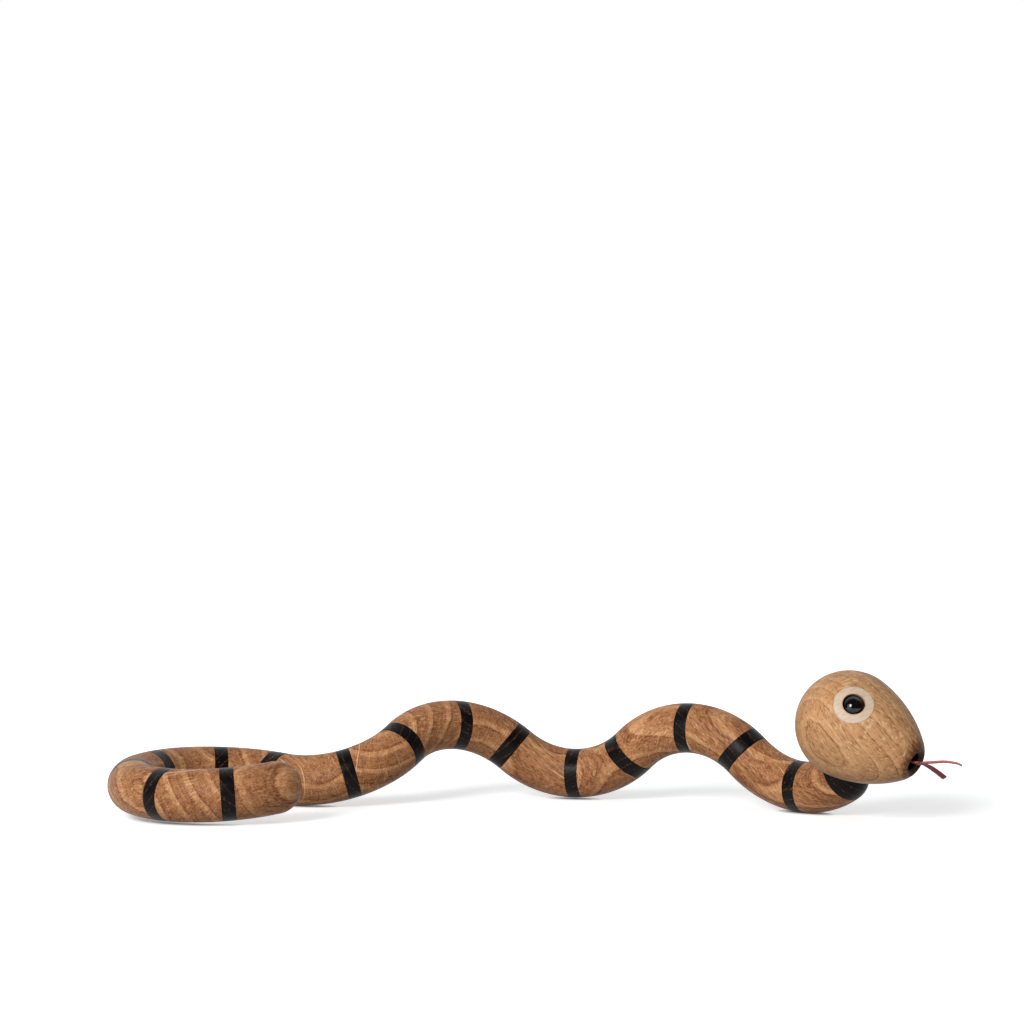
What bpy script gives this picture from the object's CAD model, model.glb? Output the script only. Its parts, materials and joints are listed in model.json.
# Wooden snake toy: turned oak segments with smoked bands, an egg-shaped head, ringed eyes and a
# forked leather tongue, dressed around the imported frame.
import json
import math
import random

import bmesh
import bpy
from mathutils import Matrix, Vector


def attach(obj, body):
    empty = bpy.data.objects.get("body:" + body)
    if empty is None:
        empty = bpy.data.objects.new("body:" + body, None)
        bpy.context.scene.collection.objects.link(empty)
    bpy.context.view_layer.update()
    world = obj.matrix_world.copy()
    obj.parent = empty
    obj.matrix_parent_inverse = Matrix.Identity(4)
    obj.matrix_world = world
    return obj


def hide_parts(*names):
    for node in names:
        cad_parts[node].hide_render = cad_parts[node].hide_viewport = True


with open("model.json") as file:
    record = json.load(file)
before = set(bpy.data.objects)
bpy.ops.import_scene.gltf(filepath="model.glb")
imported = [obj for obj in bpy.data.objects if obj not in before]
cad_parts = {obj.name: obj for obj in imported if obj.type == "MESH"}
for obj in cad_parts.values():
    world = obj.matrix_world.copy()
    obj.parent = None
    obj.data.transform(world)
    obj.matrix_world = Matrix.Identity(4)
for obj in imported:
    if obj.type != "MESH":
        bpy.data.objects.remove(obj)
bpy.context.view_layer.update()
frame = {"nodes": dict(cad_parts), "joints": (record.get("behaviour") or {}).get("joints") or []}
mm = 0.001
segmentCount = 8

# Camera first: level with the toy, a little over the table
view = {
    "place": (0.13304, -1.18984, 0.13587),
    "lens": 89.2,
    "sensor": 36,
    "tilt": 90.27,  # degrees, 90 looks straight ahead
}
cameraData = bpy.data.cameras.new("camera")
cameraData.lens = view["lens"]
cameraData.sensor_width = view["sensor"]
camera = bpy.data.objects.new("camera", cameraData)
camera.location = view["place"]
camera.rotation_euler = (math.radians(view["tilt"]), 0, 0)
bpy.context.scene.collection.objects.link(camera)
bpy.context.scene.camera = camera
bpy.context.scene.view_settings.view_transform = "Standard"


# Small helpers for meshes, and what they keep to
meshCare = {
    "sliver": 0.002 * mm,  # shorter edges that a cut leaves are closed up
    "crispAngle": 32,  # degrees, steeper corners stay crisp
    "drillAround": 64,
}


def makeObject(name, points, faces, material):
    mesh = bpy.data.meshes.new(name)
    mesh.from_pydata([tuple(p) for p in points], [], faces)
    mesh.materials.append(material)
    shape = bmesh.new()
    shape.from_mesh(mesh)
    bmesh.ops.recalc_face_normals(shape, faces=shape.faces)
    shape.to_mesh(mesh)
    shape.free()
    made = bpy.data.objects.new(name, mesh)
    bpy.context.scene.collection.objects.link(made)
    return made


def skinRings(rings, firstTip=None, lastTip=None):
    # rings with the same number of points become one closed skin with a fan at each end
    count = len(rings[0])
    points = [p for ring in rings for p in ring]
    faces = []
    for i in range(len(rings) - 1):
        for j in range(count):
            k = (j + 1) % count
            faces.append((i * count + j, i * count + k, (i + 1) * count + k, (i + 1) * count + j))
    for i, tip in ((0, firstTip), (len(rings) - 1, lastTip)):
        middle = len(points)
        points.append(tip if tip else sum(rings[i], Vector()) / count)
        faces += [(i * count + j, i * count + (j + 1) % count, middle) for j in range(count)]
    return points, faces


def turnedRings(profile, matrix, count):
    # (along, radius) pairs turned round the matrix's X
    rings = []
    for along, radius in profile:
        rings.append([matrix @ Vector((along, radius * math.cos(2 * math.pi * j / count),
                                       radius * math.sin(2 * math.pi * j / count)))
                      for j in range(count)])
    return rings


def makeTurned(name, profile, matrix, material, count):
    # the first and last pairs are the tips on the axis
    tips = [matrix @ Vector((along, 0, 0)) for along in (profile[0][0], profile[-1][0])]
    points, faces = skinRings(turnedRings(profile[1:-1], matrix, count), *tips)
    return makeObject(name, points, faces, material)


def makeDrill(matrix, radius, start, end, count=meshCare["drillAround"]):
    profile = [(start, 0), (start, radius), (end, radius), (end, 0)]
    return makeTurned("drill", profile, matrix, None, count)


def carve(made, tools, operation="DIFFERENCE"):
    # takes the tools away from a piece, or joins them to it, and deletes the tools
    for tool in tools:
        cut = made.modifiers.new("cut", "BOOLEAN")
        cut.operation = operation
        cut.solver = "EXACT"
        cut.object = tool
    bpy.context.view_layer.update()
    ready = made.evaluated_get(bpy.context.evaluated_depsgraph_get())
    carved = bpy.data.meshes.new_from_object(ready)
    made.modifiers.clear()
    made.data = carved
    shape = bmesh.new()
    shape.from_mesh(carved)
    bmesh.ops.dissolve_degenerate(shape, dist=meshCare["sliver"], edges=shape.edges)
    shape.to_mesh(carved)
    shape.free()
    for tool in tools:
        bpy.data.objects.remove(tool, do_unlink=True)


def storeValues(made, name, values):
    # one number for each point, for the piece's material
    made.data.attributes.new(name, "FLOAT", "POINT").data.foreach_set("value", values)


def storePoints(made, name, places):
    flat = [number for place in places for number in place]
    made.data.attributes.new(name, "FLOAT_VECTOR", "POINT").data.foreach_set("vector", flat)


def standFor(made, node, body, crispAngle=meshCare["crispAngle"]):
    # the finished piece takes the place of a node of the frame
    mesh = made.data
    mesh.polygons.foreach_set("use_smooth", [True] * len(mesh.polygons))
    mesh.set_sharp_from_angle(angle=math.radians(crispAngle))
    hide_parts(node)
    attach(made, body)


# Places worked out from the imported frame

def solidCentre(name):
    mesh = frame["nodes"][name].data
    mesh.calc_loop_triangles()
    total = 0.0
    centre = Vector()
    for triangle in mesh.loop_triangles:
        a, b, c = (mesh.vertices[i].co for i in triangle.vertices)
        volume = a.dot(b.cross(c))
        total += volume
        centre += volume * (a + b + c) / 4
    return centre / total


def placed(xAxis, yAxis, zAxis, place):
    turned = Matrix((xAxis, yAxis, zAxis)).transposed().to_4x4()
    return Matrix.Translation(place) @ turned


def facing(place, heading):
    # X along the heading, the other two axes as they fall
    side = heading.orthogonal().normalized()
    return placed(heading, side, heading.cross(side), place)


bandCentres = {k: solidCentre("segment_%d_mid_band" % k) for k in range(1, segmentCount + 1)}
swivels = {}
for joint in frame["joints"]:
    swivelPlace = Vector(joint["pos_m"])
    swivelHeading = Vector(joint["axis"]).normalized()
    if joint["name"] == "neck_swivel":
        swivels[segmentCount] = (swivelPlace, swivelHeading)
    else:
        number = int(joint["name"].split("_")[1])
        if swivelHeading.dot(bandCentres[number + 1] - bandCentres[number]) < 0:
            swivelHeading = -swivelHeading
        swivels[number] = (swivelPlace, swivelHeading)

bendArc = swivels[1][1].angle(swivels[2][1])
bendRadius = (swivels[2][0] - swivels[1][0]).length / (2 * math.sin(bendArc / 2))
middleArc = bendArc / 2


def alongBend(angle):
    # move along a bend: X is the way ahead and Y points to the middle of the bend
    shift = Vector((bendRadius * math.sin(angle), bendRadius * (1 - math.cos(angle)), 0))
    return Matrix.Translation(shift) @ Matrix.Rotation(angle, 4, "Z")


def segmentStart(k):
    place, heading = swivels[max(k - 1, 1)]
    across = heading.cross(bandCentres[k] - place).normalized()
    start = placed(heading, across.cross(heading), across, place)
    return start @ alongBend(-bendArc) if k == 1 else start


segments = {k: segmentStart(k) for k in range(1, segmentCount + 1)}
neckPlace, neckAxis = swivels[segmentCount]
neckInLast = segments[segmentCount].inverted() @ neckPlace
neckArc = math.atan2(neckInLast.x, bendRadius - neckInLast.y)
print("stage: frame read, bend radius %.2f mm, bend %.2f degrees, neck at %.2f degrees"
      % (bendRadius / mm, math.degrees(bendArc), math.degrees(neckArc)))


# Material helpers

def startMaterial(name):
    material = bpy.data.materials.new(name)
    material.use_nodes = True
    tree = material.node_tree
    return material, tree, tree.nodes["Principled BSDF"]


def addNode(tree, kind, inputs, **settings):
    node = tree.nodes.new("ShaderNode" + kind)
    for key, value in settings.items():
        setattr(node, key, value)
    for socket, value in inputs.items():
        if isinstance(value, bpy.types.NodeSocket):
            tree.links.new(value, node.inputs[socket])
        else:
            node.inputs[socket].default_value = value
    return node


def calc(tree, operation, a, b=0.0, c=0.0):
    return addNode(tree, "Math", {0: a, 1: b, 2: c}, operation=operation).outputs[0]


def vectorCalc(tree, operation, a, b):
    return addNode(tree, "VectorMath", {0: a, 1: b}, operation=operation).outputs[0]


def scaled(tree, vector, factor):
    return addNode(tree, "VectorMath", {0: vector, "Scale": factor}, operation="SCALE").outputs[0]


def vectorOf(tree, x, y, z):
    return addNode(tree, "CombineXYZ", {0: x, 1: y, 2: z}).outputs[0]


def ramp(tree, value, low, high, start=0.0, end=1.0):
    # smooth step from start to end as the value goes from low to high
    return addNode(tree, "MapRange", {0: value, 1: low, 2: high, 3: start, 4: end},
                   interpolation_type="SMOOTHSTEP").outputs[0]


def blendColour(tree, amount, a, b):
    return addNode(tree, "Mix", {0: amount, 6: a, 7: b}, data_type="RGBA").outputs[2]


def cloud(tree, vector, scale, detail=2.0, rough=0.5):
    return addNode(tree, "TexNoise", {"Vector": vector, "Scale": scale, "Detail": detail,
                                      "Roughness": rough}).outputs[0]


def drawnOut(tree, point, noise):
    # a cloud that is longer one way than another: its three lengths, scale, detail and roughness
    lengths, scale, detail, rough = noise
    return cloud(tree, vectorCalc(tree, "DIVIDE", point, lengths), scale, detail, rough)


def luckOf(tree, number):
    return addNode(tree, "TexWhiteNoise", {"W": number}, noise_dimensions="1D").outputs[0]


def readValue(tree, name):
    return addNode(tree, "Attribute", {}, attribute_name=name).outputs["Fac"]


def readPoint(tree, name):
    return addNode(tree, "Attribute", {}, attribute_name=name).outputs["Vector"]


def millimetres(tree):
    # for the frame's own nodes, whose place is in their mesh
    return scaled(tree, addNode(tree, "TexCoord", {}).outputs["Object"], 1 / mm)


def joinSurface(tree, shader, colour, rough):
    tree.links.new(colour, shader.inputs["Base Color"])
    tree.links.new(rough, shader.inputs["Roughness"])


def joinRelief(tree, shader, height, strength, depth):
    relief = addNode(tree, "Bump", {"Strength": strength, "Distance": depth, "Height": height})
    tree.links.new(relief.outputs[0], shader.inputs["Normal"])


def setSockets(shader, values):
    for socket, value in values.items():
        shader.inputs[socket].default_value = value


def markedMaterial(name, look):
    # a plain finish: two close colours and a roughness that follow faint marks
    material, tree, shader = startMaterial(name)
    marks = cloud(tree, millimetres(tree), *look["marks"])
    colour = blendColour(tree, ramp(tree, marks, *look["blend"]), look["colour"], look["worn"])
    lowest, more = look["roughness"]
    joinSurface(tree, shader, colour, calc(tree, "MULTIPLY_ADD", marks, more, lowest))
    setSockets(shader, look["sockets"])
    return material


# Oak, cut from a board: growth rings round a pith along X, pores and fibres along it, and rays
# that stand on the rings. Lengths are in millimetres of the board. A noise has its lengths along
# the grain and across it, then its scale, detail and roughness; those of the ray and ring lines
# lie along the grain, away from the pith and round it.

oakLook = {
    "dark": (0.190, 0.064, 0.024, 1),
    "middle": (0.410, 0.180, 0.075, 1),
    "gold": (0.680, 0.365, 0.172, 1),
    "pore": (0.120, 0.042, 0.016, 1),
    "ray": (0.740, 0.470, 0.265, 1),
    "middleFrom": (0.0, 0.52),  # shades over which the dark goes over to the middle colour
    "goldFrom": (0.48, 1.05),
    "drift": 2.2,
    "driftScale": 0.035,
    "ringGap": 8.6,
    "ringUneven": 0.30,
    "unevenScale": 0.11,
    "unevenPlace": (7.3, 1.1),
    "ringRagged": 0.16,
    "raggedNoise": ((1 / 0.12, 1.0, 1.0), 0.9, 3.0, 0.6),
    "palePart": (0.07, 0.20, 0.44),  # of each ring: where its pale band is full, fades and ends
    "paleShade": 0.30,
    "lateFade": (0.55, 0.95),  # of each ring: where it darkens slowly, and then at its edge
    "lateEdge": (0.90, 0.96),
    "lateShare": 0.5,
    "lateShade": 0.14,
    "fibre": 0.60,
    "fibreNoise": ((14.0, 1.0, 1.0), 2.10, 3.0, 0.62),
    "streak": 0.38,
    "streakNoise": ((16.0, 1.0, 1.0), 0.50, 2.0, 0.5),
    "rayLines": 0.34,
    "rayNoise": ((2.4, 6.0, 1 / 1.8), 1.0, 2.0, 0.6),
    "ringLines": 0.46,
    "ringNoise": ((6.0, 1 / 2.1, 4.0), 1.0, 2.0, 0.6),
    "arcRadius": 40.0,
    "blotch": 0.16,
    "blotchNoise": ((2.0, 1.0, 1.0), 0.085, 2.0, 0.5),
    "poreGap": 0.66,
    "poreLength": 4.2,
    "poreEdge": (0.26, 0.42),
    "poreCrowd": (0.14, 0.40),  # in the pale bands, and more between them
    "poreFade": (-0.04, 0.08),
    "poreShade": 0.64,
    "rayAngle": 0.20,  # between the long rays, in radians round the pith
    "rayPlace": (0.6, 0.2),  # of that step: how much a ray's place varies, and the least
    "rayWidth": 0.12,
    "rayFade": 2.6,
    "rayBreaks": (22.0, 16.0, 3.7),  # lengths along the grain and outwards, and from ray to ray
    "rayWhole": (0.44, 0.54),
    "rayShade": 0.80,
    "rayShare": 0.60,
    "fleckFrom": (0.60, 0.67),
    "fleckShade": 0.42,
    "roughness": 0.44,
    "poreRough": 0.25,
    "fibreRough": 0.10,
    "shine": 0.10,
    "bump": 0.8,
    "fibreHeight": 0.9,
    "relief": 0.0001,
}
smokedLook = dict(
    oakLook,
    dark=(0.0030, 0.0024, 0.0025, 1),
    middle=(0.0060, 0.0048, 0.0048, 1),
    gold=(0.0260, 0.0135, 0.0085, 1),
    pore=(0.175, 0.064, 0.023, 1),
    ray=(0.024, 0.018, 0.016, 1),
    ringGap=3.9,
    ringUneven=0.4,
    palePart=(0.03, 0.12, 0.26),
    paleShade=0.50,
    poreLength=1.7,
    poreCrowd=(0.78, -0.72),
    poreShade=0.80,
    rayShade=0.20,
    fleckShade=0.10,
    roughness=0.32,
    shine=0.09,
    bump=1.0,
)
headLook = dict(
    oakLook,
    dark=(0.310, 0.128, 0.050, 1),
    middle=(0.565, 0.295, 0.135, 1),
    gold=(0.790, 0.490, 0.260, 1),
    pore=(0.180, 0.068, 0.024, 1),
    ray=(0.860, 0.600, 0.350, 1),
    ringGap=6.2,
    paleShade=0.15,
    lateShade=0.15,
    fibre=0.46,
    streak=0.26,
    rayLines=0.26,
    ringLines=0.34,
    poreShade=0.58,
    fleckShade=0.50,
    rayShare=0.0,
    roughness=0.42,
)


def placeInWood(tree, look, point):
    # the place with a slow drift of the grain, and its distance and angle from the pith
    slow = addNode(tree, "TexNoise", {"Vector": point, "Scale": look["driftScale"]}).outputs[1]
    shift = vectorCalc(tree, "SUBTRACT", slow, (0.5, 0.5, 0.5))
    shift = vectorCalc(tree, "MULTIPLY", shift, (0.0, 2 * look["drift"], 2 * look["drift"]))
    bent = vectorCalc(tree, "ADD", point, shift)
    x, y, z = addNode(tree, "SeparateXYZ", {0: bent}).outputs
    radius = calc(tree, "SQRT", calc(tree, "ADD", calc(tree, "MULTIPLY", y, y),
                                     calc(tree, "MULTIPLY", z, z)))
    angle = calc(tree, "ARCTAN2", z, y)
    arc = calc(tree, "MULTIPLY", angle, look["arcRadius"])
    return {"point": bent, "along": x, "radius": radius, "angle": angle,
            "round": vectorOf(tree, x, radius, arc)}


def growthRings(tree, look, wood):
    # how much a place lies in the pale band of its year, and in the dark end of it
    year = calc(tree, "DIVIDE", wood["radius"], look["ringGap"])
    unevenPoint = vectorOf(tree, calc(tree, "MULTIPLY", wood["radius"], look["unevenScale"]),
                           *look["unevenPlace"])
    uneven = cloud(tree, unevenPoint, 1.0, 1.0)
    year = calc(tree, "MULTIPLY_ADD", uneven, look["ringUneven"] * 2, year)
    ragged = drawnOut(tree, wood["point"], look["raggedNoise"])
    year = calc(tree, "MULTIPLY_ADD", ragged, look["ringRagged"], year)
    year = calc(tree, "FRACT", year)
    full, fades, ends = look["palePart"]
    pale = calc(tree, "MULTIPLY", ramp(tree, year, 0.0, full), ramp(tree, year, fades, ends, 1.0, 0.0))
    slowly = calc(tree, "MULTIPLY", ramp(tree, year, *look["lateFade"]), look["lateShare"])
    return pale, calc(tree, "ADD", slowly, ramp(tree, year, *look["lateEdge"]))


def woodPores(tree, look, wood, pale):
    # long cells, more of them between the pale bands
    gap = look["poreGap"]
    cellPoint = vectorCalc(tree, "DIVIDE", wood["point"], (look["poreLength"], gap, gap))
    cells = addNode(tree, "TexVoronoi", {"Vector": cellPoint, "Scale": 1.0}).outputs
    hole = ramp(tree, cells["Distance"], *look["poreEdge"], 1.0, 0.0)
    draw = addNode(tree, "SeparateXYZ", {0: cells["Color"]}).outputs[0]
    inPale, more = look["poreCrowd"]
    crowd = calc(tree, "MULTIPLY_ADD", calc(tree, "SUBTRACT", 1.0, pale), more, inPale)
    shown = ramp(tree, calc(tree, "SUBTRACT", crowd, draw), *look["poreFade"])
    return calc(tree, "MULTIPLY", hole, shown)


def longRays(tree, look, wood):
    # thin sheets that stand on the rings, one at most in each step of the angle, with breaks
    step = calc(tree, "DIVIDE", wood["angle"], look["rayAngle"])
    number = calc(tree, "FLOOR", step)
    middle = calc(tree, "MULTIPLY_ADD", luckOf(tree, number), *look["rayPlace"])
    away = calc(tree, "ABSOLUTE", calc(tree, "SUBTRACT", calc(tree, "FRACT", step), middle))
    away = calc(tree, "MULTIPLY", calc(tree, "MULTIPLY", away, look["rayAngle"]), wood["radius"])
    line = ramp(tree, away, look["rayWidth"], look["rayWidth"] * look["rayFade"], 1.0, 0.0)
    chosen = luckOf(tree, calc(tree, "ADD", number, 0.5))
    line = calc(tree, "MULTIPLY", line, calc(tree, "LESS_THAN", chosen, look["rayShare"]))
    along, outwards, fromNext = look["rayBreaks"]
    breakPoint = vectorOf(tree, calc(tree, "DIVIDE", wood["along"], along),
                          calc(tree, "DIVIDE", wood["radius"], outwards),
                          calc(tree, "MULTIPLY", number, fromNext))
    whole = ramp(tree, cloud(tree, breakPoint, 1.0, 0.0), *look["rayWhole"])
    return calc(tree, "MULTIPLY", line, whole)


def oakNodes(tree, look, point, tone):
    # colour, roughness and height of the wood
    wood = placeInWood(tree, look, point)
    pale, late = growthRings(tree, look, wood)
    pore = woodPores(tree, look, wood, pale)
    fibre = drawnOut(tree, wood["point"], look["fibreNoise"])
    streak = drawnOut(tree, wood["point"], look["streakNoise"])
    rayLines = drawnOut(tree, wood["round"], look["rayNoise"])
    ringLines = drawnOut(tree, wood["round"], look["ringNoise"])
    blotch = drawnOut(tree, wood["point"], look["blotchNoise"])
    shade = calc(tree, "MULTIPLY_ADD", fibre, look["fibre"] * 2, 0.5 - look["fibre"])
    for lines, gain in ((streak, look["streak"]), (rayLines, look["rayLines"]),
                        (ringLines, look["ringLines"]), (blotch, look["blotch"])):
        shade = calc(tree, "ADD", shade, calc(tree, "MULTIPLY_ADD", lines, gain * 2, -gain))
    shade = calc(tree, "MULTIPLY_ADD", pale, look["paleShade"], shade)
    shade = calc(tree, "MULTIPLY_ADD", late, -look["lateShade"], shade)
    shade = calc(tree, "SUBTRACT", shade, look["paleShade"] / 4)

    colour = blendColour(tree, ramp(tree, shade, *look["middleFrom"]), look["dark"], look["middle"])
    colour = blendColour(tree, ramp(tree, shade, *look["goldFrom"]), colour, look["gold"])
    fleck = ramp(tree, rayLines, *look["fleckFrom"])
    for mark, strength, tint in ((pore, look["poreShade"], look["pore"]),
                                 (fleck, look["fleckShade"], look["ray"]),
                                 (longRays(tree, look, wood), look["rayShade"], look["ray"])):
        colour = blendColour(tree, calc(tree, "MULTIPLY", mark, strength), colour, tint)
    colour = scaled(tree, colour, tone)
    rough = calc(tree, "MULTIPLY_ADD", pore, look["poreRough"],
                 look["roughness"] - look["fibreRough"] / 2)
    rough = calc(tree, "MULTIPLY_ADD", fibre, look["fibreRough"], rough)
    height = calc(tree, "MULTIPLY_ADD", pore, -1.0, calc(tree, "MULTIPLY", fibre, look["fibreHeight"]))
    return colour, rough, height


def burntColour(tree, burn, point, colour):
    # the wood's colour under the burn: tinted, then charred, then black
    scorch = readValue(tree, "burn")
    smear = drawnOut(tree, point, burn["smearNoise"])
    amount = calc(tree, "MULTIPLY_ADD", calc(tree, "SUBTRACT", smear, 0.5), burn["smear"], scorch)
    amount = calc(tree, "MULTIPLY", ramp(tree, amount, *burn["tintFrom"]),
                  ramp(tree, scorch, *burn["startFrom"]))
    tinted = vectorCalc(tree, "MULTIPLY", colour, burn["tint"])
    colour = blendColour(tree, calc(tree, "MULTIPLY", amount, burn["shade"]), colour, tinted)
    charred = calc(tree, "MULTIPLY_ADD", smear, burn["charSmear"], scorch)
    colour = blendColour(tree, ramp(tree, charred, *burn["charFrom"], 0.0, burn["charShade"]), colour,
                         burn["char"])
    return blendColour(tree, ramp(tree, scorch, *burn["blackFrom"]), colour, burn["black"])


def oakMaterial(name, look, burn=None, fromBoard=True):
    material, tree, shader = startMaterial(name)
    point = readPoint(tree, "boardPoint") if fromBoard else millimetres(tree)
    tone = readValue(tree, "boardTone") if fromBoard else 1.0
    colour, rough, height = oakNodes(tree, look, point, tone)
    if burn:
        colour = burntColour(tree, burn, point, colour)
    joinSurface(tree, shader, colour, rough)
    setSockets(shader, {"Specular IOR Level": look["shine"]})
    joinRelief(tree, shader, height, look["bump"], look["relief"])
    return material


bodyOak = oakMaterial("bodyOak", oakLook)
smokedOak = oakMaterial("smokedOak", smokedLook)


def sawn(out, grain, depth, tone=1.0):
    # how a piece was sawn: out is the way that its rings face, grain the way that its fibres run,
    # depth the distance in mm from its skin down to the pith, and tone makes it lighter or darker
    return {"out": Vector(out).normalized(), "grain": Vector(grain), "depth": depth, "tone": tone}


def cutFromBoard(made, cut, surface):
    # writes each point's place in its board, in millimetres; the surface is a point on its skin
    across = cut["grain"].cross(cut["out"]).normalized()
    grain = cut["grain"].normalized()
    out = across.cross(grain).normalized()
    board = placed(grain, out, grain.cross(out), surface - out * cut["depth"] * mm)
    back = board.inverted()
    storePoints(made, "boardPoint", [(back @ vertex.co) / mm for vertex in made.data.vertices])
    storeValues(made, "boardTone", [cut["tone"]] * len(made.data.vertices))


# How each oak piece was sawn, seen in the toy's own pose
boards = {
    (1, "rear"): sawn((0.70, -0.62, 0.34), (0.66, 0.75, 0.02), depth=30, tone=0.96),
    (1, "front"): sawn((-0.87, 0.10, -0.50), (0.22, -0.95, 0.14), depth=44, tone=0.98),
    (2, "rear"): sawn((-0.20, -0.50, 0.84), (0.94, -0.33, 0.03), depth=36, tone=1.02),
    (2, "front"): sawn((-0.30, 0.40, 0.87), (0.72, 0.60, 0.10), depth=40, tone=0.95),
    (3, "rear"): sawn((0.20, -0.88, 0.42), (0.90, 0.10, 0.42), depth=30, tone=0.98),
    (3, "front"): sawn((0.90, -0.20, 0.38), (-0.30, -0.90, 0.30), depth=42, tone=0.96),
    (4, "rear"): sawn((0.30, 0.42, -0.86), (0.50, -0.78, -0.36), depth=40, tone=1.02),
    (4, "front"): sawn((0.12, 0.10, -0.98), (0.24, -0.96, 0.14), depth=48, tone=1.03),
    (5, "rear"): sawn((-0.62, -0.50, 0.60), (0.70, -0.05, 0.71), depth=44, tone=1.06),
    (5, "front"): sawn((0.62, -0.10, 0.78), (0.42, -0.80, -0.42), depth=38, tone=0.98),
    (6, "rear"): sawn((-0.52, -0.76, -0.38), (0.76, -0.24, -0.60), depth=30, tone=0.94),
    (6, "front"): sawn((-0.84, -0.42, 0.34), (0.40, -0.60, -0.70), depth=36, tone=0.96),
    (7, "rear"): sawn((-0.50, -0.60, 0.62), (0.78, -0.03, 0.62), depth=42, tone=1.06),
    (7, "front"): sawn((0.52, -0.60, 0.60), (0.58, -0.52, -0.62), depth=34, tone=1.0),
    (8, "rear"): sawn((-0.60, -0.72, -0.34), (0.66, -0.20, -0.72), depth=40, tone=1.0),
    (8, "front"): sawn((-0.42, -0.62, 0.66), (0.74, -0.56, -0.36), depth=32, tone=0.95),
}
# the bands are sawn at a slope, each a little differently
bandCut = {
    "seed": 4,
    "slope": (34, 58),  # degrees
    "outLean": (-0.3, 0.3),
    "grainLean": (-0.2, 0.2),
    "depth": (40, 60),
    "tone": (0.9, 1.1),
}
boardDraw = random.Random(bandCut["seed"])
for k in range(1, segmentCount + 1):
    for part in ("mid_band", "joint_band"):
        slope = math.radians(boardDraw.choice((-1, 1)) * boardDraw.uniform(*bandCut["slope"]))
        bandOut = (-math.sin(slope), boardDraw.uniform(*bandCut["outLean"]), math.cos(slope))
        bandGrain = (math.cos(slope), boardDraw.uniform(*bandCut["grainLean"]), math.sin(slope))
        bandDepth = boardDraw.uniform(*bandCut["depth"])
        boards[(k, part)] = sawn(bandOut, bandGrain, bandDepth, boardDraw.uniform(*bandCut["tone"]))


# Body: the round rod along its bends, its bands and its bevels
rod = {
    "radius": 12.0 * mm,
    "midBand": 6.4 * mm,
    "jointBand": 7.2 * mm,
    "jointGap": 0.14 * mm,
    "tailLength": 34.3 * mm,
    "startBevel": 0.32 * mm,
    "bandBevel": 0.26 * mm,
    "seamBevel": 0.10 * mm,
    "around": 112,
    "step": 0.9 * mm,
    "bevelSteps": 4,
    "ballSteps": 26,
}
pins = {
    "radius": 2.5 * mm,
    "play": 0.06 * mm,
    "seat": 12.0 * mm,
    "pocketRadius": 5.2 * mm,
    "pocketDepth": 4.0 * mm,
    "neckBearing": 4.2 * mm,
    "socketPlay": 0.3 * mm,
}


def cutBody(made, k, part, angle):
    # sawn with the middle of the piece at that angle along the segment's bend
    middle = (segments[k] @ alongBend(angle)).translation
    cutFromBoard(made, boards[(k, part)], middle + boards[(k, part)]["out"] * rod["radius"])


def edgeRows(width):
    # quarter round from a flat end to the skin: distance from the end, and how far in it lies
    steps = rod["bevelSteps"]
    turns = [math.pi / 2 * i / steps for i in range(steps + 1)]
    return [(width * (1 - math.cos(a)), width * (1 - math.sin(a))) for a in turns]


def rodRings(k, first, last):
    # rings between two cuts; a cut has the angle of its plane, the distance past it and its bevel
    firstAngle, firstPast, firstBevel = first
    lastAngle, lastPast, lastBevel = last
    length = bendRadius * (lastAngle - firstAngle) + lastPast - firstPast
    steps = max(3, round(length / rod["step"]))
    rows = [("first", d, inset) for d, inset in edgeRows(firstBevel)]
    rows += [("between", i / steps, 0) for i in range(1, steps)]
    rows += [("last", d, inset) for d, inset in edgeRows(lastBevel)[::-1]]
    rings = []
    for part, amount, inset in rows:
        reach = rod["radius"] - inset
        ring = []
        for j in range(rod["around"]):
            turn = 2 * math.pi * j / rod["around"]
            outward = bendRadius - reach * math.cos(turn)
            if part == "first":
                angle = firstAngle + math.asin((firstPast + amount) / outward)
            elif part == "last":
                angle = lastAngle + math.asin((lastPast - amount) / outward)
            else:
                low = firstAngle + math.asin((firstPast + firstBevel) / outward)
                high = lastAngle + math.asin((lastPast - lastBevel) / outward)
                angle = low + (high - low) * amount
            ring.append(segments[k] @ Vector((outward * math.sin(angle),
                                              bendRadius - outward * math.cos(angle),
                                              reach * math.sin(turn))))
        rings.append(ring)
    return rings


def ballRings(matrix, way):
    # half ball at an end of the rod, from its equator to near its tip; way is 1 ahead, -1 back
    profile = []
    for i in range(rod["ballSteps"]):
        a = math.pi / 2 * i / rod["ballSteps"]
        profile.append((rod["radius"] * math.sin(a) * way, rod["radius"] * math.cos(a)))
    return turnedRings(profile, matrix, rod["around"])


def tailPiece():
    # the first segment's rear half, with the tail's ball in place of a flat end
    tailArc = middleArc - (rod["tailLength"] - rod["radius"]) / bendRadius
    tailMatrix = segments[1] @ alongBend(tailArc)
    bend = rodRings(1, (tailArc, 0, 0.0), (middleArc, -rod["midBand"] / 2, rod["seamBevel"]))
    rings = ballRings(tailMatrix, -1)[::-1] + bend[rod["bevelSteps"] + 1:]
    tip = tailMatrix @ Vector((-rod["radius"], 0, 0))
    made = makeObject("segment_1_rear_oak", *skinRings(rings, tip), bodyOak)
    cutBody(made, 1, "rear", (tailArc + middleArc) / 2)
    return made


def rearPiece(k):
    rings = rodRings(k, (0, 0, rod["startBevel"]), (middleArc, -rod["midBand"] / 2, rod["seamBevel"]))
    made = makeObject("segment_%d_rear_oak" % k, *skinRings(rings), bodyOak)
    carve(made, [makeDrill(segments[k], pins["radius"], -rod["midBand"], pins["seat"])])
    cutBody(made, k, "rear", middleArc / 2)
    return made


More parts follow.
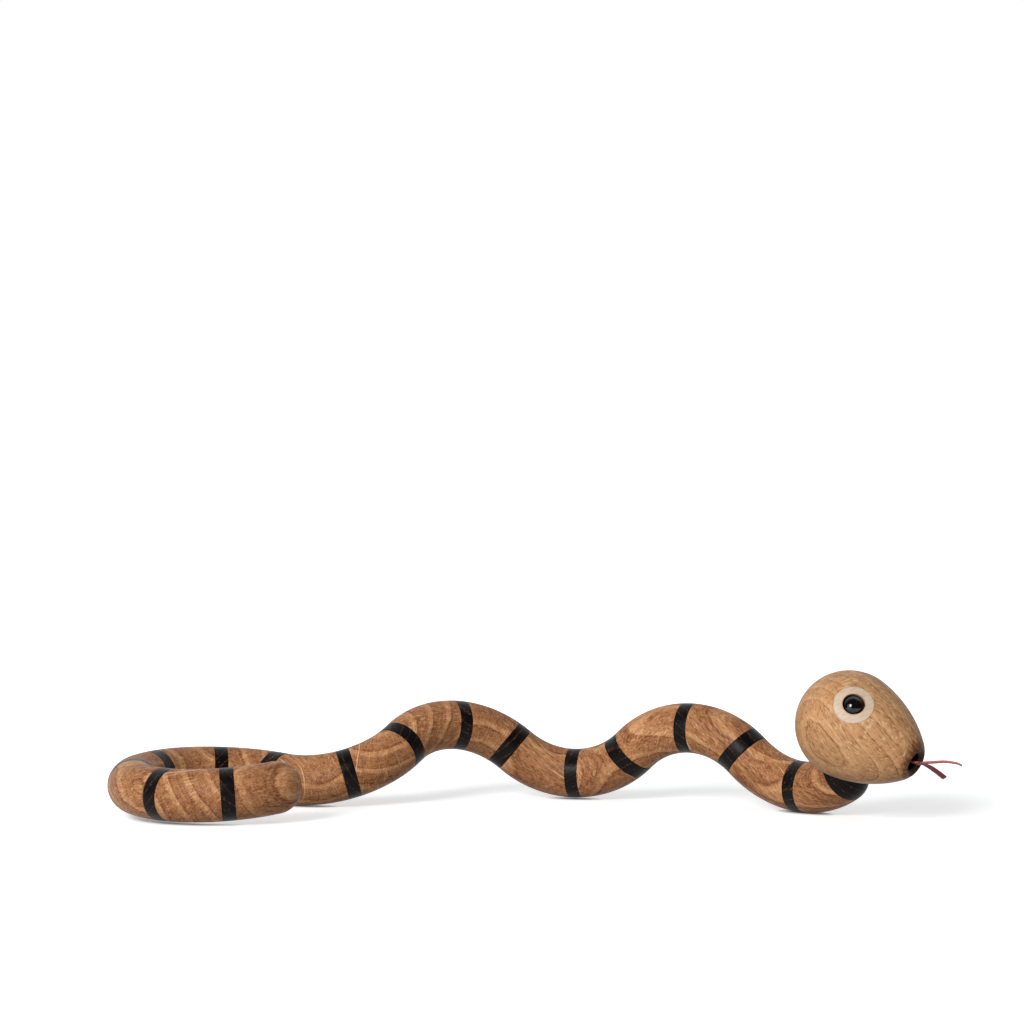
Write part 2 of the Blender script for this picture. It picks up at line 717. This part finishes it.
def midBandPiece(k):
    half = rod["midBand"] / 2
    seam = rod["seamBevel"]
    rings = rodRings(k, (middleArc, -half, seam), (middleArc, half, seam))
    made = makeObject("segment_%d_mid_band_oak" % k, *skinRings(rings), smokedOak)
    cutBody(made, k, "mid_band", middleArc)
    return made


def frontPiece(k):
    seam = rod["seamBevel"]
    start = (middleArc, rod["midBand"] / 2, seam)
    if k == segmentCount:
        end = (neckArc, 0, seam)
        bearing = facing(neckPlace + neckAxis * pins["neckBearing"], neckAxis)
    else:
        end = (bendArc, -rod["jointBand"], seam)
        bearing = segments[k] @ alongBend(bendArc) @ Matrix.Translation((-rod["jointBand"], 0, 0))
    made = makeObject("segment_%d_front_oak" % k, *skinRings(rodRings(k, start, end)), bodyOak)
    carve(made, [makeDrill(bearing, pins["pocketRadius"], -pins["pocketDepth"], 0)])
    cutBody(made, k, "front", (middleArc + end[0]) / 2)
    return made


def jointBandPiece(k):
    rings = rodRings(k, (bendArc, -rod["jointBand"], rod["seamBevel"]),
                     (bendArc, -rod["jointGap"], rod["bandBevel"]))
    made = makeObject("segment_%d_joint_band_oak" % k, *skinRings(rings), smokedOak)
    carve(made, [makeDrill(segments[k] @ alongBend(bendArc), pins["radius"] + pins["play"],
                           -2 * rod["jointBand"], rod["jointBand"])])
    cutBody(made, k, "joint_band", bendArc)
    return made


def neckBallPiece():
    neckMatrix = segments[segmentCount] @ alongBend(neckArc)
    tip = neckMatrix @ Vector((rod["radius"], 0, 0))
    made = makeObject("neck_ball_oak", *skinRings(ballRings(neckMatrix, 1), None, tip), smokedOak)
    axisMatrix = facing(neckPlace, neckAxis)
    pocket = makeDrill(axisMatrix, pins["pocketRadius"], pins["neckBearing"] - pins["pocketDepth"],
                       pins["neckBearing"])
    bore = makeDrill(axisMatrix, pins["radius"] + pins["play"], 0, 2 * rod["radius"])
    carve(made, [pocket, bore])
    cutBody(made, segmentCount, "joint_band", neckArc)
    return made


for k in range(1, segmentCount + 1):
    body = "segment_%d" % k
    standFor(rearPiece(k) if k > 1 else tailPiece(), body + "_rear", body)
    standFor(midBandPiece(k), body + "_mid_band", body)
    standFor(frontPiece(k), body + "_front", body)
    if k < segmentCount:
        standFor(jointBandPiece(k), body + "_joint_band", body)
    else:
        standFor(neckBallPiece(), "neck_ball", body)
print("stage: body turned")


# Head: an egg turned round its own line, with a dished mouth, eye seats and the neck's socket.
# Its sizes and the eyes' are in millimetres, as the head's own frame is, and in degrees.
egg = {
    "backRadius": 25.0,
    "sideRadius": 60.0,
    "noseRadius": 14.1,
    "noseAhead": 24.9,
    "mouthRadius": 4.2,
    "mouthDepth": 15.0,
    "dishRadius": 6.5,
    "dishDepth": 1.6,
    "rimRound": 0.7,
    "rise": 29.0,
    "eyeSpread": 45.0,
    "eyeAhead": 6.6,
    "rootRadius": 2.9,
    "rootLength": 8.0,
    "rootOverlap": 1.0,
    "around": 176,
    "backSteps": 48,
    "sideSteps": 30,
    "noseSteps": 20,
    "rimSteps": 5,
    "socketSteps": 48,
}
eye = {
    "ringRadius": 9.15,
    "holeRadius": 5.0,
    "seat": 5.0,
    "seam": 0.06,
    "edge": 0.18,
    "edgeSteps": 4,
    "faceSteps": 8,
    "pupilRadius": 4.7,
    "domeRadius": 6.0,
    "domeSteps": 18,
    "proud": 0.9,
    "stemRadius": 2.0,
    "stemLength": 8.0,
    "around": 120,
    "pupilAround": 96,
    "skinRange": (-8.0, 3.0),  # heights between which the egg's skin lies, over the eye's plane
    "halvings": 26,
}
mouthBurn = {
    "tint": (0.300, 0.190, 0.130),
    "char": (0.018, 0.009, 0.006, 1),
    "black": (0.003, 0.002, 0.002, 1),
    "shade": 0.92,
    "charShade": 0.85,
    "startFrom": (0.0, 0.12),  # how scorched the wood is where each of these starts, and is full
    "tintFrom": (0.05, 0.75),
    "charFrom": (1.16, 1.50),
    "blackFrom": (1.2, 1.7),
    "smear": 1.5,
    "charSmear": 0.9,
    "smearNoise": ((1 / 0.22, 1.0, 1.0), 0.75, 4.0, 0.65),
    "reach": 7.5,
    "below": 0.55,  # share of the reach below the mouth, and how much more above it
    "aboveMore": 0.6,
    "above": (0.5, 0, 0.85),
    "rim": 0.6,
    "wallGap": 0.1,  # the hole's black takes in its wall, and starts this far below the dish
    "dishGap": 0.4,
    "inHole": 2.0,
}

eyeLift = math.asin(egg["eyeAhead"] / egg["backRadius"])
headMiddle = neckPlace + neckAxis * egg["rise"] * mm
pupilPlaces = [solidCentre("pupil_left"), solidCentre("pupil_right")]
headLeft = (pupilPlaces[0] - pupilPlaces[1]).normalized()
eyeMiddle = ((pupilPlaces[0] + pupilPlaces[1]) / 2 - headMiddle).normalized()
eyeSlant = math.atan2(math.sin(eyeLift), math.cos(eyeLift) * math.cos(math.radians(egg["eyeSpread"])))
slantAhead = headLeft.cross(eyeMiddle)
headAhead = math.sin(eyeSlant) * eyeMiddle + math.cos(eyeSlant) * slantAhead
headUp = headAhead.cross(headLeft)
headFrame = placed(headAhead, headLeft, headUp, headMiddle) @ Matrix.Scale(mm, 4)

# where the egg's arcs meet, measured ahead of the middle of its back arc
eggBack = egg["sideRadius"] - egg["backRadius"]
eggNose = egg["sideRadius"] - egg["noseRadius"]
sideMiddle = (eggBack ** 2 - eggNose ** 2 + egg["noseAhead"] ** 2) / (2 * egg["noseAhead"])
sideIn = math.sqrt(eggBack ** 2 - sideMiddle ** 2)
sideStart = sideMiddle * (1 - egg["sideRadius"] / eggBack)
sideEnd = sideMiddle + (egg["noseAhead"] - sideMiddle) * egg["sideRadius"] / eggNose
noseTip = egg["noseAhead"] + egg["noseRadius"]
mouthFloor = noseTip - egg["mouthDepth"]
dishRim = egg["noseAhead"] + math.sqrt(egg["noseRadius"] ** 2 - egg["dishRadius"] ** 2)


def eggRadius(along):
    if along < sideStart:
        return math.sqrt(max(0.0, egg["backRadius"] ** 2 - along ** 2))
    if along < sideEnd:
        return math.sqrt(egg["sideRadius"] ** 2 - (along - sideMiddle) ** 2) - sideIn
    return math.sqrt(max(0.0, egg["noseRadius"] ** 2 - (along - egg["noseAhead"]) ** 2))


def roundCorner(profile, index, radius, steps):
    # replaces one corner of a profile by a short curve
    before, corner, after = (Vector(profile[i]) for i in (index - 1, index, index + 1))
    start = corner + (before - corner).normalized() * radius
    end = corner + (after - corner).normalized() * radius
    curve = []
    for i in range(steps + 1):
        t = i / steps
        curve.append(tuple((1 - t) ** 2 * start + 2 * t * (1 - t) * corner + t ** 2 * end))
    return profile[:index] + curve + profile[index + 1:]


def arcPoints(middle, radius, first, last, steps):
    # points of a profile along an arc round a place on the egg's line, without the first one
    angles = [first + (last - first) * i / steps for i in range(1, steps + 1)]
    return [(middle + radius * math.cos(a), radius * math.sin(a)) for a in angles]


def eggProfile():
    backEnd = math.acos(sideStart / egg["backRadius"])
    noseStart = math.acos((sideEnd - egg["noseAhead"]) / egg["noseRadius"])
    noseEnd = math.asin(egg["dishRadius"] / egg["noseRadius"])
    profile = [(-egg["backRadius"], 0)]
    profile += arcPoints(0, egg["backRadius"], math.pi, backEnd, egg["backSteps"])
    for i in range(1, egg["sideSteps"] + 1):
        along = sideStart + (sideEnd - sideStart) * i / egg["sideSteps"]
        profile.append((along, eggRadius(along)))
    profile += arcPoints(egg["noseAhead"], egg["noseRadius"], noseStart, noseEnd, egg["noseSteps"])
    rim = len(profile) - 1
    profile.append((dishRim - egg["dishDepth"], egg["mouthRadius"]))
    profile += [(mouthFloor, egg["mouthRadius"]), (mouthFloor, 0)]
    for corner in (rim + 1, rim):
        profile = roundCorner(profile, corner, egg["rimRound"], egg["rimSteps"])
    return profile


def eyeMatrix(side):
    # Z looks out of the eye
    return (headFrame @ Matrix.Rotation(math.radians(-side * egg["eyeSpread"]), 4, "X")
            @ Matrix.Rotation(eyeLift, 4, "Y") @ Matrix.Translation((0, 0, egg["backRadius"])))


def alongZ(matrix):
    # the same place with its X where Z was
    return matrix @ Matrix.Rotation(math.radians(-90), 4, "Y")


def neckSocket():
    radius = (rod["radius"] + pins["socketPlay"]) / mm
    steps = egg["socketSteps"]
    angles = [math.pi * i / steps for i in range(steps + 1)]
    profile = [(-radius * math.cos(a), radius * math.sin(a)) for a in angles]
    socketMatrix = facing(neckPlace, neckAxis) @ Matrix.Scale(mm, 4)
    ball = makeTurned("drill", profile, socketMatrix, None, rod["around"])
    pinSeat = makeDrill(socketMatrix, pins["radius"] / mm, 0, radius + pins["seat"] / mm)
    return [ball, pinSeat]


def eyeSeat(side):
    matrix = alongZ(eyeMatrix(side))
    seat = makeDrill(matrix, eye["ringRadius"] + eye["seam"], -eye["seat"], eye["seat"], eye["around"])
    stemHole = makeDrill(matrix, eye["stemRadius"], -eye["seat"] - eye["stemLength"], 0)
    return [seat, stemHole]


def burnMouth(made):
    # how scorched each point is: full in the mouth, fading over the nose, more above than below
    back = headFrame.inverted()
    above = (back.to_3x3() @ Vector(mouthBurn["above"])).normalized()
    holeReach = egg["mouthRadius"] + mouthBurn["wallGap"]
    holeEnd = dishRim - egg["dishDepth"] - mouthBurn["dishGap"]
    values = []
    for vertex in made.data.vertices:
        p = back @ vertex.co
        reach = math.hypot(p.y, p.z)
        lean = 0.5 + 0.5 * (p.y * above.y + p.z * above.z) / max(reach, 0.1)
        fade = mouthBurn["reach"] * (mouthBurn["below"] + mouthBurn["aboveMore"] * lean)
        away = max(0.0, reach - egg["dishRadius"] + mouthBurn["rim"])
        if p.x < 0:
            values.append(0.0)
        elif reach < holeReach and p.x < holeEnd:
            values.append(mouthBurn["inHole"])
        else:
            values.append(max(0.0, 1.0 - away / fade))
    storeValues(made, "burn", values)


# The head's board: its pith lies in front of the near cheek, and its grain falls towards the nose
headBoard = sawn((0.62, 0.71, 0.33), (0.64, -0.20, -0.77), depth=62.8)
headOak = oakMaterial("headOak", headLook, mouthBurn)
headPiece = makeTurned("head_oak", eggProfile(), headFrame, headOak, egg["around"])
rootHole = makeDrill(headFrame, egg["rootRadius"], mouthFloor - egg["rootLength"],
                     mouthFloor + egg["rootOverlap"])
carve(headPiece, neckSocket() + [rootHole] + eyeSeat(1) + eyeSeat(-1))
cutFromBoard(headPiece, headBoard, headMiddle + headBoard["out"] * egg["backRadius"] * mm)
burnMouth(headPiece)
standFor(headPiece, "head", "head")
print("stage: head turned, %d faces" % len(headPiece.data.polygons))


# Eyes: maple rings set flush in the head, with black domed pupils
mapleLook = {
    "pale": (0.695, 0.535, 0.405, 1),
    "warm": (0.610, 0.445, 0.320, 1),
    "fleck": (0.520, 0.330, 0.210, 1),
    "inner": (0.330, 0.180, 0.110, 1),
    "figureNoise": ((6.0, 1.0, 1.0), 0.9, 3.0, 0.6),
    "warmFrom": (0.40, 0.66),
    "fleckNoise": ((2.6, 1.0, 1.0), 3.6, 1.0, 0.5),
    "fleckFrom": (0.60, 0.74),
    "fleckShade": 0.5,
    "innerWidth": 0.55,  # the stained edge of the hole, in mm
    "innerShade": 0.75,
    "roughness": (0.36, 0.12),
    "shine": 0.2,
    "bump": 0.2,
    "relief": 0.00004,
    "grain": (0.9, 0.1, 0.35),
    "depth": 40,
}
pupilLook = {
    "colour": (0.002, 0.002, 0.0022, 1),
    "worn": (0.004, 0.004, 0.0045, 1),
    "marks": (0.5, 3.0),
    "blend": (0.4, 0.7),
    "roughness": (0.06, 0.06),
    "sockets": {"Specular IOR Level": 0.48},
}


def mapleMaterial():
    material, tree, shader = startMaterial("ringMaple")
    point = readPoint(tree, "boardPoint")
    figure = drawnOut(tree, point, mapleLook["figureNoise"])
    warmth = ramp(tree, figure, *mapleLook["warmFrom"])
    colour = blendColour(tree, warmth, mapleLook["pale"], mapleLook["warm"])
    flecks = drawnOut(tree, point, mapleLook["fleckNoise"])
    fleck = ramp(tree, flecks, *mapleLook["fleckFrom"], 0.0, mapleLook["fleckShade"])
    colour = blendColour(tree, fleck, colour, mapleLook["fleck"])
    colour = blendColour(tree, readValue(tree, "innerEdge"), colour, mapleLook["inner"])
    lowest, more = mapleLook["roughness"]
    joinSurface(tree, shader, colour, calc(tree, "MULTIPLY_ADD", flecks, more, lowest))
    setSockets(shader, {"Specular IOR Level": mapleLook["shine"]})
    joinRelief(tree, shader, figure, mapleLook["bump"], mapleLook["relief"])
    return material


def eggHeight(matrix, reach, turn):
    # height of the egg's skin over the eye's own plane, in mm, found by halving
    low, high = eye["skinRange"]
    inHead = headFrame.inverted() @ matrix
    for _ in range(eye["halvings"]):
        middle = (low + high) / 2
        p = inHead @ Vector((reach * math.cos(turn), reach * math.sin(turn), middle))
        if math.hypot(p.y, p.z) < eggRadius(p.x):
            low = middle
        else:
            high = middle
    return low


def ringSection():
    # across the ring's face, from its outer edge to its hole: the reach and how far down it lies
    outer, inner, edge = eye["ringRadius"], eye["holeRadius"], eye["edge"]
    rounds = [math.pi / 2 * i / eye["edgeSteps"] for i in range(eye["edgeSteps"] + 1)]
    steps = eye["faceSteps"]
    face = [(outer - edge * (1 - math.cos(a)), edge * (1 - math.sin(a))) for a in rounds]
    face += [(outer - edge - (outer - inner - 2 * edge) * i / steps, 0.0) for i in range(1, steps)]
    face += [(inner + edge * (1 - math.cos(a)), edge * (1 - math.sin(a))) for a in rounds[::-1]]
    return face


def makeRing(name, matrix):
    face = ringSection()
    reaches = [eye["ringRadius"]] + [reach for reach, _ in face] + [eye["holeRadius"]]
    points, inwards = [], []
    count = eye["around"]
    for j in range(count):
        turn = 2 * math.pi * j / count
        heights = [eggHeight(matrix, reach, turn) - down for reach, down in face]
        for reach, height in zip(reaches, [-eye["seat"]] + heights + [-eye["seat"]]):
            points.append(matrix @ Vector((reach * math.cos(turn), reach * math.sin(turn), height)))
            inner = max(0.0, 1.0 - (reach - eye["holeRadius"]) / mapleLook["innerWidth"])
            inwards.append(inner * mapleLook["innerShade"])
    size = len(reaches)
    faces = []
    for j in range(count):
        a, b = j * size, ((j + 1) % count) * size
        faces += [(a + i, a + (i + 1) % size, b + (i + 1) % size, b + i) for i in range(size)]
    made = makeObject(name, points, faces, ringMaple)
    storeValues(made, "innerEdge", inwards)
    return made


def pupilProfile():
    top, dome, wide = eye["proud"], eye["domeRadius"], eye["pupilRadius"]
    bottom = -eye["seat"] - eye["stemLength"]
    widest = math.asin(wide / dome)
    profile = [(bottom, 0), (bottom, eye["stemRadius"]), (-eye["seat"], eye["stemRadius"]),
               (-eye["seat"], wide)]
    for i in range(eye["domeSteps"] + 1):
        a = widest * (1 - i / eye["domeSteps"])
        profile.append((top - dome + dome * math.cos(a), dome * math.sin(a)))
    return profile


ringMaple = mapleMaterial()
pupilBlack = markedMaterial("pupilBlack", pupilLook)
for side, name in ((1, "left"), (-1, "right")):
    matrix = eyeMatrix(side)
    ring = makeRing("eye_ring_%s_maple" % name, matrix)
    ringOut = (matrix.to_3x3() @ Vector((0, 0, 1))).normalized()
    ringGrain = Vector(mapleLook["grain"])
    ringGrain -= ringOut * ringOut.dot(ringGrain)
    cutFromBoard(ring, sawn(ringOut, ringGrain, mapleLook["depth"]), matrix.translation)
    standFor(ring, "eye_ring_" + name, "head")
    pupil = makeTurned("pupil_%s_black" % name, pupilProfile(), alongZ(matrix), pupilBlack,
                       eye["pupilAround"])
    standFor(pupil, "pupil_" + name, "head")
print("stage: eyes set")


# Tongue: one leather strip, split into two forks that are cut square at their ends
tongueCut = {
    "thickness": 0.9,
    "forkWidth": 2.3,
    "turn": -22.7,
    "stepsPerPoint": 12,
    "edgeRound": 0.16,
    "edgeSteps": 3,
    "faceShares": (0.6, 0.2, -0.2, -0.6),  # of the half width: the points across a flat face
    "crispAngle": 50,
}
halfFork = tongueCut["forkWidth"] / 2
rootHeight = (math.sqrt(egg["rootRadius"] ** 2 - tongueCut["forkWidth"] ** 2)
              - tongueCut["thickness"] / 2)
# middle lines: ahead of the nose tip, sideways, up, twist in degrees
stripLine = [
    (mouthFloor - egg["rootLength"] - noseTip, 0, rootHeight, 0),
    (-egg["mouthDepth"], 0, rootHeight, 0),
    (-9, 0, 0.6, 0),
    (-4, 0, -0.3, 0),
    (0.2, 0, 1.1, 0),
]
farForkLine = [
    (-0.7, halfFork, 0.9, 0),
    (1.8, halfFork + 0.2, 2.6, 0),
    (5, halfFork + 0.5, 4.7, 0),
    (9.3, halfFork + 0.8, 7.4, 0),
    (14, halfFork + 1.2, 9.3, 0),
    (16.5, halfFork + 1.4, 9.6, 0),
]
nearForkLine = [
    (-0.7, -halfFork, 0.8, 0),
    (1.2, -halfFork - 0.1, 1.2, 8),
    (3.5, -halfFork - 0.2, 1.7, 20),
    (6.5, -halfFork - 0.4, 1.8, 38),
    (10.9, -halfFork - 1.2, 1.5, 50),
    (14.9, -halfFork - 2, 1, 50),
]
leatherLook = {
    "face": (0.105, 0.008, 0.011, 1),
    "faceWorn": (0.160, 0.016, 0.017, 1),
    "wornFrom": (0.38, 0.70),
    "cut": (0.340, 0.040, 0.036, 1),
    "cutPale": (0.560, 0.115, 0.090, 1),
    "paleFrom": (0.38, 0.66),
    "hideNoise": (1.1, 4.0, 0.6),
    "cutNoise": (2.6, 3.0),
    "grainScale": 3.2,
    "grainHeight": 0.6,
    "roughness": (0.42, 0.25),
    "sockets": {"Sheen Weight": 0.05, "Sheen Roughness": 0.5},
    "bump": 0.5,
    "relief": 0.00008,
}


def leatherMaterial():
    material, tree, shader = startMaterial("tongueLeather")
    point = readPoint(tree, "stripPoint")
    hide = cloud(tree, point, *leatherLook["hideNoise"])
    face = blendColour(tree, ramp(tree, hide, *leatherLook["wornFrom"]), leatherLook["face"],
                       leatherLook["faceWorn"])
    fibres = ramp(tree, cloud(tree, point, *leatherLook["cutNoise"]), *leatherLook["paleFrom"])
    cut = blendColour(tree, fibres, leatherLook["cut"], leatherLook["cutPale"])
    colour = blendColour(tree, readValue(tree, "cutEdge"), face, cut)
    lowest, more = leatherLook["roughness"]
    joinSurface(tree, shader, colour, calc(tree, "MULTIPLY_ADD", hide, more, lowest))
    setSockets(shader, leatherLook["sockets"])
    cells = addNode(tree, "TexVoronoi", {"Vector": point, "Scale": leatherLook["grainScale"]})
    height = calc(tree, "MULTIPLY_ADD", cells.outputs["Distance"], leatherLook["grainHeight"], hide)
    joinRelief(tree, shader, height, leatherLook["bump"], leatherLook["relief"])
    return material


def easedLine(line):
    # smooth curve through the points of a line
    steps = tongueCut["stepsPerPoint"]
    rows = [Vector(p) for p in line]
    out = []
    for i in range(len(rows) - 1):
        a, b = rows[max(i - 1, 0)], rows[i]
        c, d = rows[i + 1], rows[min(i + 2, len(rows) - 1)]
        for j in range(steps):
            t = j / steps
            out.append(0.5 * (2 * b + (c - a) * t + (2 * a - 5 * b + 4 * c - d) * t ** 2
                              + (3 * b - a - 3 * c + d) * t ** 3))
    return out + [rows[-1]]


def stripSection(width):
    # outline of the strip, with rounded corners, and how far each point is on a cut edge
    half, flat, corner = width / 2, tongueCut["thickness"] / 2, tongueCut["edgeRound"]
    outline = []
    for cx, cz, start in ((half, -flat, -90), (half, flat, 0), (-half, flat, 90), (-half, -flat, 180)):
        for i in range(tongueCut["edgeSteps"] + 1):
            a = math.radians(start + 90 * i / tongueCut["edgeSteps"])
            x = cx - math.copysign(corner, cx) + corner * math.cos(a)
            z = cz - math.copysign(corner, cz) + corner * math.sin(a)
            outline.append((x, z, abs(math.cos(a))))
        if start in (-90, 90):
            outline.append((cx, 0, 1.0))
        else:
            outline += [(cx * share, cz, 0.0) for share in tongueCut["faceShares"]]
    return outline


def stripMesh(name, line, width):
    curve = easedLine(line)
    outline = stripSection(width)
    turned = headFrame @ Matrix.Rotation(math.radians(tongueCut["turn"]), 4, "X")
    rings, places, edges = [], [], []
    spots = [Vector((noseTip + p[0], p[1], p[2])) for p in curve]
    walked = 0.0
    for i, spot in enumerate(spots):
        ahead = (spots[min(i + 1, len(spots) - 1)] - spots[max(i - 1, 0)]).normalized()
        flat = Vector((0, 1, 0))
        side = (flat - ahead * flat.dot(ahead)).normalized()
        up = ahead.cross(side)
        twist = math.radians(curve[i][3])
        side = math.cos(twist) * side + math.sin(twist) * up
        up = ahead.cross(side)
        walked += (spot - spots[i - 1]).length if i else 0.0
        rings.append([turned @ (spot + side * x + up * z) for x, z, _ in outline])
        places += [(walked, x, z) for x, z, _ in outline]
        edges += [amount for _, _, amount in outline]
    # the far end is cut too, and the two fans have a point each
    count = len(outline)
    edges[-count:] = [1.0] * count
    places += [(0, 0, 0), (walked, 0, 0)]
    edges += [1.0, 1.0]
    made = makeObject(name, *skinRings(rings), tongueLeather)
    storePoints(made, "stripPoint", places)
    storeValues(made, "cutEdge", edges)
    return made


tongueLeather = leatherMaterial()
tongue = stripMesh("tongue_leather", stripLine, 2 * tongueCut["forkWidth"])
forks = [stripMesh("fork", line, tongueCut["forkWidth"]) for line in (farForkLine, nearForkLine)]
carve(tongue, forks, "UNION")
standFor(tongue, "tongue", "head", tongueCut["crispAngle"])
print("stage: tongue cut, %d faces" % len(tongue.data.polygons))


# Pins, washers and the tongue's wedge stay as the frame gives them, with their own finishes
pinLook = {
    "colour": (0.56, 0.55, 0.53, 1),
    "worn": (0.40, 0.38, 0.36, 1),
    "marks": (2.4, 4.0, 0.6),
    "blend": (0.35, 0.7),
    "roughness": (0.22, 0.25),
    "sockets": {"Metallic": 1.0},
}
washerLook = {
    "colour": (0.70, 0.67, 0.60, 1),
    "worn": (0.60, 0.56, 0.48, 1),
    "marks": (1.3, 3.0),
    "blend": (0.35, 0.7),
    "roughness": (0.35, 0.2),
    "sockets": {"Subsurface Weight": 0.1, "Subsurface Scale": 0.001},
}
pinSteel = markedMaterial("pinSteel", pinLook)
washerNylon = markedMaterial("washerNylon", washerLook)
wedgeOak = oakMaterial("wedgeOak", headLook, fromBoard=False)
for number in range(1, segmentCount + 1):
    frame["nodes"]["swivel_pin_%d" % number].material_slots[0].material = pinSteel
    frame["nodes"]["friction_washer_%d" % number].material_slots[0].material = washerNylon
frame["nodes"]["tongue_wedge"].material_slots[0].material = wedgeOak
print("stage: pins, washers and wedge finished")


# Table and light
studio = {
    "floorSize": 8.0,
    "floorColour": (0.812, 0.826, 0.842, 1),
    "floorWorn": (0.802, 0.816, 0.832, 1),
    "floorMarks": (2.0, 2.0),
    "wornFrom": (0.3, 0.7),
    "floorBounce": (0.480, 0.495, 0.510, 1),  # what the table throws back onto the toy
    "floorSockets": {"Roughness": 0.9, "Specular IOR Level": 0.1},
    "floorGlow": (0.60, 1.0),  # near the toy, and far from it
    "glowFrom": (0.17, 0.46),
    "contactReach": 0.0025,
    "contactSamples": 8,
    "skyLight": 0.22,
    "backdrop": (-0.15, 0.25),  # how far back the mirrored white starts, and is full
    "mirrorDim": 0.7,
    "aim": (0.14, 0.0, 0.03),
}
lamps = {
    "key": {"power": 27.0, "size": (1.9, 2.3), "way": (-0.62, -0.74, 0.24), "away": 3.2},
    "core": {"power": 58.0, "size": (0.80, 1.05), "way": (-0.43, -0.79, 0.44), "away": 2.9},
    "top": {"power": 1.5, "size": (1.0, 1.0), "way": (0.46, 0.02, 0.88), "away": 3.0},
}


def whiteRays(tree):
    # 1 for rays that come by a mirror or through glass, and 1 for all that should meet white
    path = addNode(tree, "LightPath", {}).outputs
    mirrored = calc(tree, "MAXIMUM", path["Is Glossy Ray"], path["Is Transmission Ray"])
    return mirrored, calc(tree, "MAXIMUM", path["Is Camera Ray"], mirrored)


def makeFloor():
    half = studio["floorSize"] / 2
    corners = [(-half, -half, 0), (half, -half, 0), (half, half, 0), (-half, half, 0)]
    material, tree, shader = startMaterial("tableWhite")
    spot = addNode(tree, "TexCoord", {}).outputs["Object"]
    wear = ramp(tree, cloud(tree, spot, *studio["floorMarks"]), *studio["wornFrom"])
    seen = whiteRays(tree)[1]
    shade = blendColour(tree, wear, studio["floorColour"], studio["floorWorn"])
    shade = blendColour(tree, seen, studio["floorBounce"], shade)
    tree.links.new(shade, shader.inputs["Base Color"])
    setSockets(shader, studio["floorSockets"])
    away = addNode(tree, "VectorMath", {0: spot, 1: studio["aim"]}, operation="DISTANCE").outputs[1]
    amount = ramp(tree, away, *studio["glowFrom"], *studio["floorGlow"])
    touch = addNode(tree, "AmbientOcclusion", {"Distance": studio["contactReach"]},
                    samples=studio["contactSamples"])
    amount = calc(tree, "MULTIPLY", amount, touch.outputs["AO"])
    glow = addNode(tree, "Emission", {"Color": (1, 1, 1, 1),
                                      "Strength": calc(tree, "MULTIPLY", seen, amount)})
    both = addNode(tree, "AddShader", {0: shader.outputs[0], 1: glow.outputs[0]})
    tree.links.new(both.outputs[0], tree.nodes["Material Output"].inputs["Surface"])
    floor = makeObject("table", corners, [(0, 1, 2, 3)], material)


def makeWorld():
    world = bpy.data.worlds.new("studio")
    world.use_nodes = True
    bpy.context.scene.world = world
    tree = world.node_tree
    # the backdrop stands behind the toy, and the room on the camera's side is dim in mirrors
    way = addNode(tree, "SeparateXYZ", {0: addNode(tree, "TexCoord", {}).outputs["Generated"]}).outputs
    mirrored, seen = whiteRays(tree)
    dim = calc(tree, "MULTIPLY", mirrored, ramp(tree, way[1], *studio["backdrop"], 1.0, 0.0))
    white = calc(tree, "SUBTRACT", seen, dim)
    strength = calc(tree, "MULTIPLY_ADD", white, 1 - studio["skyLight"], studio["skyLight"])
    darker = calc(tree, "MULTIPLY", dim, studio["skyLight"] * studio["mirrorDim"])
    strength = calc(tree, "SUBTRACT", strength, darker)
    tree.nodes["Background"].inputs["Color"].default_value = (1, 1, 1, 1)
    tree.links.new(strength, tree.nodes["Background"].inputs["Strength"])


def makeLamp(name, lamp):
    aim = Vector(studio["aim"])
    place = aim + Vector(lamp["way"]).normalized() * lamp["away"]
    data = bpy.data.lights.new(name, "AREA")
    data.energy = lamp["power"]
    data.shape = "RECTANGLE"
    data.size, data.size_y = lamp["size"]
    made = bpy.data.objects.new(name, data)
    made.location = place
    made.rotation_euler = (aim - place).to_track_quat("-Z", "Y").to_euler()
    bpy.context.scene.collection.objects.link(made)


makeFloor()
makeWorld()
for lampName, lamp in lamps.items():
    makeLamp(lampName + "Lamp", lamp)
print("stage: table and light set")
